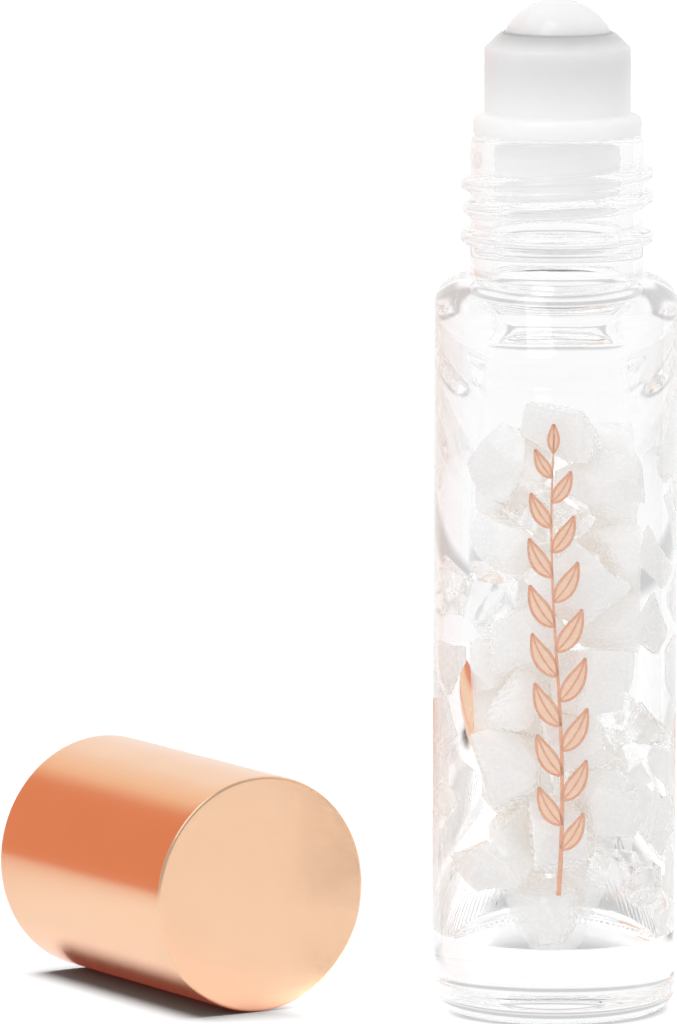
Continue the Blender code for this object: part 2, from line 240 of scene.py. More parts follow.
# How far a helical bead stands out of its wall at each angle and height. The two powers round its back
def threadRise(angle, height, thread, flankPower=2.4, backPower=0.8):
    turn = (angle - math.radians(thread["startDegrees"])) / (2 * math.pi)
    rise = np.zeros_like(height)
    for lap in range(-1, math.ceil(thread["turns"]) + 2):
        along = turn + lap
        share = along / thread["turns"]
        off = height - thread["level"] - along * thread["pitch"]
        ends = np.clip(np.minimum(share, 1 - share) / thread["runOut"], 0, 1)
        swell = np.sin(ends * math.pi / 2)
        across = np.clip(np.abs(off) / (thread["width"] / 2), 0, 1)
        bead = thread["rise"] * swell * (1 - across ** flankPower) ** backPower
        rise = np.maximum(rise, bead)
    return rise


# Slow unevenness of a moulded wall: waves that get weaker, the same on each run
def unevenness(angle, height, size, seed, waves=7, along=(0.08, 0.42), fading=0.4):
    level = np.zeros_like(height)
    rng = np.random.default_rng(seed)
    for k in range(waves):
        around = rng.integers(1, 5)
        upward = rng.uniform(*along)
        level += np.sin(around * angle + upward * height + rng.uniform(0, 6.3)) * size / (1 + k * fading)
    return level


# The glass bottle. The gaps are those between the rows of its mesh, close together under the thread
bottle = {
    "x": 10.85, "y": -13.2,
    "columns": 256, "innerGap": 1.6, "outerGap": 1.2, "threadGap": 0.07, "domeRows": 12,
    "bodyRadius": 10.0, "bodyHeight": 60.9, "wall": 1.75, "floorHeight": 6.0, "floorCorner": 2.1,
    "floorCrown": 0.25, "baseCorner": 1.8, "bearingRing": 1.5, "pushUp": 0.9,
    "shoulderCorner": 2.5, "shoulderWall": 1.5, "innerShoulderCorner": 2.2,
    "neckRadius": 7.1, "boreRadius": 5.3, "rimHeight": 72.4, "footCorner": 0.4, "mouthCorner": 1.8,
    "rimCorner": 0.5, "ringLevel": 64.1, "ringRise": 0.8, "ringWidth": 1.4, "ringRows": 16, "ringPower": 0.9,
    "threadBelowRim": 0.7, "threadAboveRing": 0.9, "threadMargins": (0.75, 0.4),
    "innerWave": 0.012, "innerSeed": 5,
    "outerWave": 0.003, "outerSeed": 8, "outerWaveFrom": 3, "outerWaveTo": 57,
    "knurlInside": 6.6, "knurlCount": 56, "knurlDepth": 0.16, "knurlDrift": 0.2, "knurlDriftCount": 9,
    "ior": 1.5, "tints": ((0.988, 0.988, 0.99, 1), (0.984, 0.985, 0.987, 1)),
    "ripple": (0.22, 2, 0.4), "fineRipple": (1.3, 2, 0.5), "fineShare": 0.15, "rippleBump": (0.2, 0.05),
    "haze": (0.6, 4, 0.6), "hazeLevels": (0.45, 0.8), "hazeRoughness": 0.012,
}
neckThread = {
    "level": 66.2, "pitch": 2.0, "turns": 2.1, "startDegrees": 112, "rise": 0.8, "width": 1.45, "runOut": 0.09,
}


def glassOutline(b):
    inner = b["bodyRadius"] - b["wall"]
    ceiling = b["bodyHeight"] - b["shoulderWall"]
    ringInner = b["bodyRadius"] - b["baseCorner"] - b["bearingRing"]
    shares = [i / b["domeRows"] for i in range(b["domeRows"] + 1)]
    floorEdge = inner - b["floorCorner"]
    outline = [(floorEdge * s, b["floorHeight"] + b["floorCrown"] * (1 - s * s)) for s in shares[:-1]]
    outline += spaced(rounded([
        (floorEdge, b["floorHeight"]),
        (inner, b["floorHeight"], b["floorCorner"]),
        (inner, ceiling, b["innerShoulderCorner"]),
        (b["boreRadius"], ceiling, b["mouthCorner"]),
        (b["boreRadius"], b["rimHeight"], b["rimCorner"]),
        (b["neckRadius"], b["rimHeight"], b["rimCorner"]),
        (b["neckRadius"], b["ringLevel"] + b["ringWidth"]),
    ]), b["innerGap"])
    neck = spaced([
        (b["neckRadius"], b["rimHeight"] - b["threadBelowRim"]),
        (b["neckRadius"], b["ringLevel"] + b["threadAboveRing"]),
    ], b["threadGap"])
    outline = [p for p in outline if p[0] < b["neckRadius"] - hair or p[1] > neck[0][1]] + neck
    for turn in (math.pi * i / b["ringRows"] for i in range(b["ringRows"] + 1)):
        rise = b["ringRise"] * math.sin(turn) ** b["ringPower"]
        outline.append((b["neckRadius"] + rise, b["ringLevel"] + b["ringWidth"] / 2 * math.cos(turn)))
    outline += spaced(rounded([
        (b["neckRadius"], b["ringLevel"] - b["ringWidth"] / 2),
        (b["neckRadius"], b["bodyHeight"], b["footCorner"]),
        (b["bodyRadius"], b["bodyHeight"], b["shoulderCorner"]),
        (b["bodyRadius"], 0, b["baseCorner"]),
        (ringInner, 0),
    ]), b["outerGap"])
    outline += [(ringInner * (1 - s), b["pushUp"] * (1 - (1 - s) ** 2)) for s in shares[1:]]
    return outline


# Raises the thread, makes the walls wavy and nicks the ring that the bottle stands on
def glassShape(radius, angle, height):
    b = bottle
    aboveRing, belowRim = b["threadMargins"]
    onNeck = (radius > b["neckRadius"] - hair) & (height > b["ringLevel"] + aboveRing)
    onNeck &= height < b["rimHeight"] - belowRim
    rise = np.where(onNeck, threadRise(angle, height, neckThread), 0)
    inside = (radius < b["bodyRadius"] - b["wall"] / 2) & (radius > hair)
    inside &= (height > b["floorHeight"] - hair) & (height < b["bodyHeight"] - b["shoulderWall"])
    outside = radius > b["bodyRadius"] - hair
    outside &= (height > b["outerWaveFrom"]) & (height < b["outerWaveTo"])
    wave = np.where(inside, unevenness(angle, height, b["innerWave"], b["innerSeed"]), 0)
    wave += np.where(outside, -abs(unevenness(angle, height, b["outerWave"], b["outerSeed"])), 0)
    onRing = (height < hair) & (radius > b["knurlInside"])
    drift = b["knurlDrift"] * np.sin(angle * b["knurlDriftCount"])
    nicks = np.clip(np.sin(angle * b["knurlCount"]) + drift, 0, 1) * b["knurlDepth"]
    return radius + rise + wave, height + np.where(onRing, nicks, 0)


glassBottle = turned("glassBottle", glassOutline(bottle), bottle["columns"], glassShape)
glassBottle.location = (bottle["x"] * mm, bottle["y"] * mm, 0)

shader = newShader("clearGlass")
place = shader.place()
broad = shader.cloud(place, *bottle["ripple"])
ripple = broad + bottle["fineShare"] * shader.cloud(place, *bottle["fineRipple"])
haze = shader.between(shader.cloud(place, *bottle["haze"]), *bottle["hazeLevels"])
glassBottle.data.materials.append(shader.finish(shader.surface(
    Base_Color=shader.mixed(haze, *bottle["tints"]), Roughness=haze * bottle["hazeRoughness"],
    IOR=bottle["ior"], Transmission_Weight=1, Normal=shader.bump(ripple, *bottle["rippleBump"]),
)))
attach(glassBottle, "bottle")
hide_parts("glass_bottle")
print("bottle made")

# The roller fitment, pressed into the neck
fitment = {
    "columns": 160, "rowGap": 0.3, "socketRows": 28,
    "ballLevel": 78.7, "ballRadius": 4.9, "ballGap": 0.04, "seatDegrees": 48,
    "lipLevel": 80.95, "lipWidth": 0.18, "lipCorner": 0.1, "coneLevel": 79.6, "radius": 6.0, "coneCorner": 0.5,
    "collarTop": 74.1, "collarFoot": 72.5, "collarRadius": 6.9, "collarCorner": 0.55, "collarFillet": 0.25,
    "undersideCorner": 0.12, "plugRadius": 5.12, "plugFoot": 66.3, "plugWall": 1.2, "plugFillet": 0.1,
    "leadIn": 1.0, "leadInCorner": 0.3, "footCorner": 0.12,
    "beads": 2, "beadRise": 0.12, "beadWidth": 0.9, "beadsBelowCollar": 0.3,
    "ior": 1.5, "tints": ((0.94, 0.94, 0.94, 1), (0.965, 0.965, 0.96, 1)), "milkDepth": 2.5,
    "clouds": (0.35, 3, 0.55), "cloudLevels": (0.35, 0.7),
    "grain": (9, 2, 0.6), "roughness": 0.26, "grainRoughness": 0.14, "grainBump": (0.15, 0.01),
}


def fitmentOutline(f):
    socket = f["ballRadius"] + f["ballGap"]
    lip = math.asin((f["lipLevel"] - f["ballLevel"]) / socket)
    seat = math.radians(f["seatDegrees"])
    channel = f["plugRadius"] - f["plugWall"]
    foot = f["ballLevel"] - socket * math.sin(seat) - abs(socket * math.cos(seat) - channel)
    outline = [(channel, f["plugFoot"]), (channel, foot)]
    for i in range(f["socketRows"] + 1):
        turn = -seat + (lip + seat) * i / f["socketRows"]
        outline.append((socket * math.cos(turn), f["ballLevel"] + socket * math.sin(turn)))
    outline += rounded([
        (socket * math.cos(lip) + f["lipWidth"], f["lipLevel"], f["lipCorner"]),
        (f["radius"], f["coneLevel"], f["coneCorner"]),
        (f["radius"], f["collarTop"], f["collarFillet"]),
        (f["collarRadius"], f["collarTop"], f["collarCorner"]),
        (f["collarRadius"], f["collarFoot"], f["undersideCorner"]),
        (f["plugRadius"], f["collarFoot"], f["plugFillet"]),
        (f["plugRadius"], f["plugFoot"] + f["leadIn"], f["leadInCorner"]),
        (f["plugRadius"] - f["plugWall"] / 2, f["plugFoot"], f["footCorner"]),
    ])
    return spaced(outline + outline[:1], f["rowGap"])[:-1]


# Raises the sealing beads on the plug
def fitmentShape(radius, angle, height):
    f = fitment
    onPlug = (radius > f["plugRadius"] - hair) & (height < f["collarFoot"] - f["beadsBelowCollar"])
    spacing = (f["collarFoot"] - f["plugFoot"] - f["leadIn"]) / (f["beads"] + 1)
    for k in range(1, f["beads"] + 1):
        off = np.clip(abs(height - f["collarFoot"] + spacing * k) / (f["beadWidth"] / 2), 0, 1)
        radius = radius + np.where(onPlug, f["beadRise"] * np.cos(off * math.pi / 2), 0)
    return radius, height


rollerHousing = turned("rollerHousing", fitmentOutline(fitment), fitment["columns"], fitmentShape, closed=True)
rollerHousing.location = (bottle["x"] * mm, bottle["y"] * mm, 0)

shader = newShader("milkyPolyethylene")
place = shader.place()
clouds = shader.cloud(place, *fitment["clouds"])
grain = shader.cloud(place, *fitment["grain"])
rollerHousing.data.materials.append(shader.finish(shader.surface(
    Base_Color=shader.ramp(clouds, fitment["cloudLevels"], fitment["tints"]),
    Roughness=fitment["roughness"] + grain * fitment["grainRoughness"], IOR=fitment["ior"],
    Subsurface_Weight=1, Subsurface_Radius=(1, 1, 1), Subsurface_Scale=fitment["milkDepth"] * mm,
    Normal=shader.bump(grain, *fitment["grainBump"]),
)))
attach(rollerHousing, "fitment")
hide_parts("roller_housing")

# The ball: a cube blown up to a sphere, so that no pole shows as it rolls
ball = {
    "cuts": 20, "partingRise": 0.004, "partingTilt": (0.8, 0.6), "partingWidth": 0.02,
    "ior": 1.5, "tints": ((0.88, 0.88, 0.88, 1), (0.91, 0.905, 0.90, 1)), "milkDepth": 3,
    "clouds": (0.25, 4, 0.55, 0.6), "cloudLevels": (0.3, 0.7),
    "scuffs": (1.5, 3, 0.7), "scuffStretch": (1, 1, 7), "scuffLevels": (0.55, 0.75),
    "roughness": 0.1, "scuffRoughness": 0.08, "scuffBump": (0.05, 0.01),
}
mesh = bpy.data.meshes.new("rollerBall")
bm = bmesh.new()
bmesh.ops.create_cube(bm, size=2)
bmesh.ops.subdivide_edges(bm, edges=bm.edges, cuts=ball["cuts"], use_grid_fill=True)
for vertex in bm.verts:
    x, y, z = vertex.co
    vertex.co = (
        x * math.sqrt(1 - y * y / 2 - z * z / 2 + y * y * z * z / 3),
        y * math.sqrt(1 - z * z / 2 - x * x / 2 + z * z * x * x / 3),
        z * math.sqrt(1 - x * x / 2 - y * y / 2 + x * x * y * y / 3),
    )
    out = vertex.co.normalized()
    across = out.x * ball["partingTilt"][0] + out.z * ball["partingTilt"][1]
    seam = math.exp(-(across / ball["partingWidth"]) ** 2)
    vertex.co = out * (fitment["ballRadius"] - ball["partingRise"] * (1 - seam)) * mm
bm.to_mesh(mesh)
bm.free()
mesh.shade_smooth()
rollerBall = bpy.data.objects.new("rollerBall", mesh)
bpy.context.scene.collection.objects.link(rollerBall)
rollerBall.location = (bottle["x"] * mm, bottle["y"] * mm, fitment["ballLevel"] * mm)

shader = newShader("milkyBall")
place = shader.place()
clouds = shader.cloud(place, *ball["clouds"])
scratched = shader.cloud(shader.place(ball["scuffStretch"]), *ball["scuffs"])
scuffs = shader.between(scratched, *ball["scuffLevels"])
rollerBall.data.materials.append(shader.finish(shader.surface(
    Base_Color=shader.ramp(clouds, ball["cloudLevels"], ball["tints"]),
    Roughness=ball["roughness"] + scuffs * ball["scuffRoughness"], IOR=ball["ior"],
    Subsurface_Weight=1, Subsurface_Radius=(1, 1, 1), Subsurface_Scale=ball["milkDepth"] * mm,
    Normal=shader.bump(scuffs, *ball["scuffBump"]),
)))
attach(rollerBall, "ball")
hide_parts("roller_ball")
print("fitment and ball made")

# Quartz chips: each grows out of its solid, with worn edges and an uneven skin. Every few chips one is clear
chips = {
    "weldGap": 0.01, "flatDegrees": 1, "sharpDegrees": 32, "longEdge": 0.9,
    "edgeWear": 0.16, "wearProfile": 0.6,
    "skin": 0.05, "skinScale": 0.9, "skinLift": 0.6, "fineSkin": 0.012, "fineScale": 4,
    "ior": 1.54, "pits": (3.5, 4, 0.65),
    "milkyTints": ((0.975, 0.955, 0.93, 1), (0.99, 0.975, 0.955, 1)), "milkDepth": 1.5,
    "milkyVeils": (0.32, 5, 0.6, 0.8), "milkyLevels": (0.35, 0.65), "milkyBump": (0.3, 0.05),
    "milkyRoughness": 0.12, "milkyPitLevels": (0.4, 0.7), "milkyPitRoughness": 0.35,
    "clearEvery": 6, "clearFirst": 3, "clearTint": (1, 0.999, 0.997, 1),
    "clearVeils": (0.5, 5, 0.65, 1.2), "clearLevels": (0.5, 0.62), "clearBump": (0.2, 0.04),
    "clearRoughness": 0.02, "clearPitRoughness": 0.06, "clearVeilRoughness": 0.3,
}

shader = newShader("milkyQuartz")
place = shader.place()
veils = shader.cloud(place, *chips["milkyVeils"])
pits = shader.cloud(place, *chips["pits"])
deepPits = shader.between(pits, *chips["milkyPitLevels"])
milkyQuartz = shader.finish(shader.surface(
    Base_Color=shader.ramp(veils, chips["milkyLevels"], chips["milkyTints"]),
    Roughness=chips["milkyRoughness"] + deepPits * chips["milkyPitRoughness"], IOR=chips["ior"],
    Subsurface_Weight=1, Subsurface_Radius=(1, 1, 1), Subsurface_Scale=chips["milkDepth"] * mm,
    Normal=shader.bump(pits, *chips["milkyBump"]),
))
shader = newShader("clearQuartz")
place = shader.place()
veils = shader.between(shader.cloud(place, *chips["clearVeils"]), *chips["clearLevels"])
pits = shader.cloud(place, *chips["pits"])
rough = chips["clearRoughness"] + pits * chips["clearPitRoughness"] + veils * chips["clearVeilRoughness"]
clearQuartz = shader.finish(shader.surface(
    Base_Color=chips["clearTint"], Roughness=rough, IOR=chips["ior"], Transmission_Weight=1,
    Normal=shader.bump(pits, *chips["clearBump"]),
))

for name in sorted(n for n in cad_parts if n.startswith("quartz_chip")):
    bm = bmesh.new()
    bm.from_mesh(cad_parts[name].data)
    bmesh.ops.remove_doubles(bm, verts=bm.verts, dist=chips["weldGap"] * mm)
    flat = math.radians(chips["flatDegrees"])
    bmesh.ops.dissolve_limit(bm, angle_limit=flat, verts=bm.verts, edges=bm.edges)
    bmesh.ops.recalc_face_normals(bm, faces=bm.faces)
    bmesh.ops.bevel(bm, geom=bm.edges[:], offset=chips["edgeWear"] * mm, segments=2, affect="EDGES",
                    profile=chips["wearProfile"], clamp_overlap=True)
    bmesh.ops.triangulate(bm, faces=bm.faces)
    longEdges = [e for e in bm.edges if e.calc_length() > chips["longEdge"] * mm]
    bmesh.ops.subdivide_edges(bm, edges=longEdges, cuts=2)
    bmesh.ops.triangulate(bm, faces=bm.faces)
    bm.normal_update()
    for vertex in bm.verts:
        spot = vertex.co / mm
        deep = noise.noise(spot * chips["skinScale"]) + chips["skinLift"]
        fine = noise.noise(spot * chips["fineScale"])
        vertex.co -= vertex.normal * mm * (chips["skin"] * max(0, deep) + chips["fineSkin"] * abs(fine))
    mesh = bpy.data.meshes.new(name)
    bm.to_mesh(mesh)
    bm.free()
    mesh.shade_smooth()
    mesh.set_sharp_from_angle(angle=math.radians(chips["sharpDegrees"]))
    clear = int(name[-2:]) % chips["clearEvery"] == chips["clearFirst"]
    mesh.materials.append(clearQuartz if clear else milkyQuartz)
    chip = bpy.data.objects.new("quartzChip" + name[-2:], mesh)
    bpy.context.scene.collection.objects.link(chip)
    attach(chip, "bottle")
    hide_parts(name)
print("chips made")

# The cap lies on its side: its axis runs along Y, mouth at the far end
cap = {
    "x": -11.05, "closedY": -2.8, "z": 9.8, "radius": 9.8, "length": 26.0, "columns": 256, "rowGap": 0.8,
    "shellWall": 0.45, "crownCorner": 0.25, "mouthCorner": 0.12,
    "tints": ((0.905, 0.595, 0.395, 1), (0.93, 0.615, 0.415, 1)), "sheen": (1, 0.95, 0.92, 1),
    "mottle": (0.18, 4, 0.55), "mottleLevels": (0.3, 0.7),
    "turning": (1.2, 3, 0.6), "turningStretch": (0.6, 0.6, 9), "turningBump": (0.03, 0.01),
    "roughness": 0.16, "turningRoughness": 0.04, "endRoughness": 0.05, "endDepths": (0.4, 0.1),
}
liner = {
    "columns": 200, "radius": 9.25, "recess": 0.6, "recessCorner": 0.15, "threadRoom": 8.2, "corner": 0.4,
    "threadFrom": 0.5, "threadTo": 0.6, "threadGap": 0.09, "step": 13.1, "stepWall": 1, "stepCorner": 0.3,
    "crownInner": 6.3, "crownOuter": 7.3, "ceiling": 22.7, "ceilingCorner": 0.5, "roof": 23.7, "top": 25.45,
    "ringRadius": 3.15, "ringFoot": 22.45, "ringSpread": (0.45, 0.2), "ringCorners": (0.2, 0.12),
    "ribs": 8, "ribWidth": 1.0, "ribInside": 0.3, "ribFromShell": 0.7,
    "tints": ((0.80, 0.80, 0.79, 1), (0.88, 0.88, 0.87, 1)), "milkShare": 0.25, "milkDepth": 1,
    "flow": (0.8, 3, 0.5), "flowStretch": (1, 1, 0.15), "flowLevels": (0.3, 0.7),
    "grain": (7, 2, 0.6), "roughness": 0.34, "grainRoughness": 0.16, "grainBump": (0.2, 0.01),
}
capThread = {
    "level": 5.9, "pitch": 2.0, "turns": 2.1, "startDegrees": 112, "rise": 0.75, "width": 1.2, "runOut": 0.09,
}


def standCap(piece):
    piece.rotation_euler = (math.pi / 2, 0, 0)
    piece.location = (cap["x"] * mm, (cap["closedY"] + cap["length"]) * mm, cap["z"] * mm)
    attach(piece, "cap")


inner = cap["radius"] - cap["shellWall"]
crown = cap["length"] - cap["shellWall"]
shellOutline = spaced(rounded([
    (0, cap["length"]),
    (cap["radius"], cap["length"], cap["crownCorner"]),
    (cap["radius"], 0, cap["mouthCorner"]),
    (inner, 0, cap["mouthCorner"]),
    (inner, crown, cap["crownCorner"]),
    (0, crown),
]), cap["rowGap"])
capShell = turned("capShell", shellOutline, cap["columns"])

shader = newShader("roseGoldAluminium")
around = shader.cloud(shader.place(cap["turningStretch"]), *cap["turning"])
mottle = shader.cloud(shader.place(), *cap["mottle"])
height = shader.axis(shader.place(), "Z")
end = shader.between(height, *(cap["length"] - depth for depth in cap["endDepths"]))
capShell.data.materials.append(shader.finish(shader.surface(
    Base_Color=shader.ramp(mottle, cap["mottleLevels"], cap["tints"]), Metallic=1,
    Roughness=cap["roughness"] + end * cap["endRoughness"] + around * cap["turningRoughness"],
    Specular_Tint=cap["sheen"], Normal=shader.bump(around, *cap["turningBump"]),
)))
standCap(capShell)
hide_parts("cap_shell")


def linerOutline(l):
    wide, narrow = l["ringSpread"]
    rootCorner, footCorner = l["ringCorners"]
    outline = rounded([
        (0, l["roof"]),
        (l["crownOuter"], l["roof"], l["corner"]),
        (l["crownOuter"], l["step"] + l["stepWall"], l["stepCorner"]),
        (l["radius"], l["step"] + l["stepWall"], l["corner"]),
        (l["radius"], l["recess"], l["recessCorner"]),
        (l["threadRoom"], l["recess"], l["corner"]),
    ])
    outline += spaced([
        (l["threadRoom"], l["recess"] + l["threadFrom"]), (l["threadRoom"], l["step"] - l["threadTo"]),
    ], l["threadGap"])
    return outline + rounded([
        (l["threadRoom"], l["step"], l["stepCorner"]),
        (l["crownInner"], l["step"], l["corner"]),
        (l["crownInner"], l["ceiling"], l["ceilingCorner"]),
        (l["ringRadius"] + wide, l["ceiling"], rootCorner),
        (l["ringRadius"] + narrow, l["ringFoot"], footCorner),
        (l["ringRadius"] - narrow, l["ringFoot"], footCorner),
        (l["ringRadius"] - wide, l["ceiling"], rootCorner),
        (0, l["ceiling"]),
    ])


# Raises the thread inwards
def linerShape(radius, angle, height):
    inside = (abs(radius - liner["threadRoom"]) < hair) & (height > liner["recess"] + liner["threadFrom"])
    inside &= height < liner["step"] - liner["threadTo"]
    return radius - np.where(inside, threadRise(angle, height, capThread), 0), height


capLiner = turned("capLiner", linerOutline(liner), liner["columns"], linerShape)
bm = bmesh.new()
bm.from_mesh(capLiner.data)
near, far = liner["crownOuter"] - liner["ribInside"], liner["radius"] - liner["ribFromShell"]
foot, top = liner["step"] + liner["stepWall"], liner["top"]
sides = [side * mm for side in (far - near, liner["ribWidth"], top - foot)]
for i in range(liner["ribs"]):
    turn = 2 * math.pi * (i + 0.5) / liner["ribs"]
    box = bmesh.ops.create_cube(bm, size=1)["verts"]
    bmesh.ops.scale(bm, vec=sides, verts=box)
    bmesh.ops.translate(bm, vec=Vector(((near + far) / 2, 0, (foot + top) / 2)) * mm, verts=box)
    for vertex in box:
        x, y, z = vertex.co
        vertex.co = (x * math.cos(turn) - y * math.sin(turn), x * math.sin(turn) + y * math.cos(turn), z)
bm.to_mesh(capLiner.data)
bm.free()

shader = newShader("whitePolypropylene")
flow = shader.cloud(shader.place(liner["flowStretch"]), *liner["flow"])
grain = shader.cloud(shader.place(), *liner["grain"])
capLiner.data.materials.append(shader.finish(shader.surface(
    Base_Color=shader.ramp(flow, liner["flowLevels"], liner["tints"]),
    Roughness=liner["roughness"] + grain * liner["grainRoughness"],
    Subsurface_Weight=liner["milkShare"], Subsurface_Radius=(1, 1, 1),
    Subsurface_Scale=liner["milkDepth"] * mm, Normal=shader.bump(grain, *liner["grainBump"]),
)))
standCap(capLiner)
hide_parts("cap_liner")
print("cap made")

# A leafy sprig printed on the glass in rose gold foil, on the side towards the camera
sprig = {
    "facingDegrees": 238.5, "low": 11.0, "high": 49.0, "underside": 0.004, "rise": 0.03, "leafRise": 0.6,
    "sway": 0.5, "swayTurn": 5.2, "swayStart": 0.5,
    "stemWidth": 0.34, "stemRows": 60, "stemFoot": 1.15, "stemTaper": 0.8,
    "leaves": 17, "leafRows": 14, "firstLeaf": 0.1, "leafRun": 0.86, "leafLength": 4.1, "leafBreadth": 1.45,
    "leafGrowth": (0.22, 0.66, 0.7), "leafPower": 0.8, "tipWidth": 0.03, "leanDegrees": 48, "leanBack": 0.35,
    "lineWidth": 0.2, "veinShare": 0.8, "leafColumns": 6, "lineColumns": 2,
    "tints": {"sprigLeaves": (0.92, 0.64, 0.48, 1), "sprigLines": (0.84, 0.43, 0.28, 1)},
    "metallic": 0.35, "paleShare": 0.65, "flecks": (4, 4, 0.7), "fleckLevels": (0.45, 0.8),
    "roughness": 0.3, "fleckRoughness": 0.2, "fleckBump": (0.2, 0.01),
}


# Wraps a flat drawing, in millimetres across and up, round the body
def onGlass(points, out):
    radius = bottle["bodyRadius"] + out
    wrapped = []
    for u, v in points:
        turn = math.radians(sprig["facingDegrees"]) + u / bottle["bodyRadius"]
        wrapped.append((bottle["x"] + radius * math.cos(turn), bottle["y"] + radius * math.sin(turn), v))
    return wrapped


# A thin raised strip of foil along a centre line, with a width at each of its points
def foilStrip(points, faces, line, widths, out, across=4):
    rows = []
    for i, (u, v) in enumerate(line):
        u0, v0 = line[max(0, i - 1)]
        u1, v1 = line[min(len(line) - 1, i + 1)]
        length = math.hypot(u1 - u0, v1 - v0)
        side = ((v1 - v0) / length, -(u1 - u0) / length)
        row = []
        for k in range(across + 1):
            off = (k / across - 0.5) * widths[i]
            row.append((u + side[0] * off, v + side[1] * off))
        rows.append(row)
    for level in (out, sprig["underside"]):
        start = len(points)
        for row in rows:
            points += onGlass(row, level)
        for i in range(len(rows) - 1):
            for k in range(across):
                a = start + i * (across + 1) + k
                faces.append((a, a + 1, a + across + 2, a + across + 1))
    top = len(points) - 2 * len(rows) * (across + 1)
    low = len(points) - len(rows) * (across + 1)
    last = len(rows) - 1
    rim = [(i, 0) for i in range(last)] + [(last, k) for k in range(across)]
    rim += [(i, across) for i in range(last, 0, -1)] + [(0, k) for k in range(across, 0, -1)]
    rim = [i * (across + 1) + k for i, k in rim]
    for here, there in zip(rim, rim[1:] + rim[:1]):
        faces.append((top + here, top + there, low + there, low + here))


def stemAt(share):
    v = sprig["low"] + (sprig["high"] - sprig["low"]) * share
    return math.sin(share * sprig["swayTurn"] + sprig["swayStart"]) * sprig["sway"], v


fillPoints, fillFaces, linePoints, lineFaces = [], [], [], []
stemShares = [i / sprig["stemRows"] for i in range(sprig["stemRows"] + 1)]
stem = [stemAt(share) for share in stemShares]
stemWidths = [sprig["stemWidth"] * (sprig["stemFoot"] - sprig["stemTaper"] * share) for share in stemShares]
foilStrip(linePoints, lineFaces, stem, stemWidths, sprig["rise"])
lineWidths = [sprig["lineWidth"]] * (sprig["leafRows"] + 1)
veinWidths = [width * sprig["veinShare"] for width in lineWidths]
growthStart, growthRun, growthPower = sprig["leafGrowth"]
for i in range(sprig["leaves"]):
    share = sprig["firstLeaf"] + sprig["leafRun"] * i / (sprig["leaves"] - 1)
    side = 0 if i == sprig["leaves"] - 1 else (1, -1)[i % 2]  # the last leaf is the tip
    size = math.sin(math.pi * (growthStart + growthRun * share)) ** growthPower
    lean = math.radians(sprig["leanDegrees"] * side)
    root = stemAt(share)
    length = sprig["leafLength"] * size
    middle, widths = [], []
    for k in range(sprig["leafRows"] + 1):
        s = k / sprig["leafRows"]
        bend = lean * (1 - sprig["leanBack"] * s)
        middle.append((root[0] + math.sin(bend) * length * s, root[1] + math.cos(bend) * length * s))
        bulge = math.sin(math.pi * min(1, s ** sprig["leafPower"]))
        widths.append(sprig["leafBreadth"] * size * bulge + sprig["tipWidth"])
    foilStrip(fillPoints, fillFaces, middle, widths, sprig["rise"] * sprig["leafRise"], sprig["leafColumns"])
    edges = ([], [])
    for k, (u, v) in enumerate(middle):
        u0, v0 = middle[max(0, k - 1)]
        u1, v1 = middle[min(sprig["leafRows"], k + 1)]
        far = math.hypot(u1 - u0, v1 - v0)
        for edge, hand in zip(edges, (0.5, -0.5)):
            edge.append((u + (v1 - v0) / far * widths[k] * hand, v - (u1 - u0) / far * widths[k] * hand))
    for edge in edges:
        foilStrip(linePoints, lineFaces, edge, lineWidths, sprig["rise"], sprig["lineColumns"])
    foilStrip(linePoints, lineFaces, middle, veinWidths, sprig["rise"], sprig["lineColumns"])

for name, points, faces in (("sprigLeaves", fillPoints, fillFaces), ("sprigLines", linePoints, lineFaces)):
    foil = makePiece(name, np.array(points) * mm, faces)
    shader = newShader(name)
    flecks = shader.cloud(shader.place(), *sprig["flecks"])
    tint = sprig["tints"][name]
    pale = tuple(1 - sprig["paleShare"] + sprig["paleShare"] * c for c in tint[:3]) + (1,)
    foil.data.materials.append(shader.finish(shader.surface(
        Base_Color=shader.ramp(flecks, sprig["fleckLevels"], (tint, pale)), Metallic=sprig["metallic"],
        Roughness=sprig["roughness"] + flecks * sprig["fleckRoughness"],
        Normal=shader.bump(flecks, *sprig["fleckBump"]),
    )))
    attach(foil, "bottle")
print("sprig made")

# Floor, surroundings and lamps. The plain levels light the object. Seen and shown ones are what the camera,
# metal and glass show of the surroundings, where 1 is white. Slopes are the sines of the angles above the
# horizon between which a change runs, and other angles are in degrees
studio = {
    "worldPlain": 0.87, "floorPlain": 0.85, "floorShown": 1.02, "floorSeen": 1.07,
    "floorRadius": 165, "floorSides": 96, "floorDrop": 0.02, "cardOnFloor": (30, 145),
    "footRadius": (7.2, 9.7), "paintedFootShade": 0.12, "footSoft": 0.8, "paintedRingShade": 0.3, "ringSoft": 0.5,
    "paintedGlowColour": (0.2, 0.026, 0.012, 1), "paintedGlowReach": 9.5,
    "frontShown": 0.55, "frontTurn": (-0.2, 0.4), "lowShown": 0.5, "lowSlope": 0.03,
    "steepSlopes": (-0.18, -0.25), "aheadSlopes": (-0.02, -0.05),
    "gapShown": 0.62, "gapLow": 6, "gapHigh": 11, "gapEdge": 3,
    "cardColour": (0.79, 0.34, 0.21, 1), "cardEdgeColour": (0.96, 0.76, 0.62, 1), "cardUp": (-9, 44),
    "cardLeft": -48, "cardRight": (-11, -1), "cardFade": 20,
    "sunShare": 5.5, "sunAside": 21, "sunBehind": 4, "sunSoft": 26,
    "fillWatts": 3.2, "fillSpot": (3, 2), "fillHeight": 90, "fillDegrees": 20,
    "keyDegrees": (57, 33), "keyDistance": 520, "keyAim": 40, "keySize": (190, 420), "keyWatts": 0.42,
    "lightBounces": 300, "diffuseBounces": 24,
}

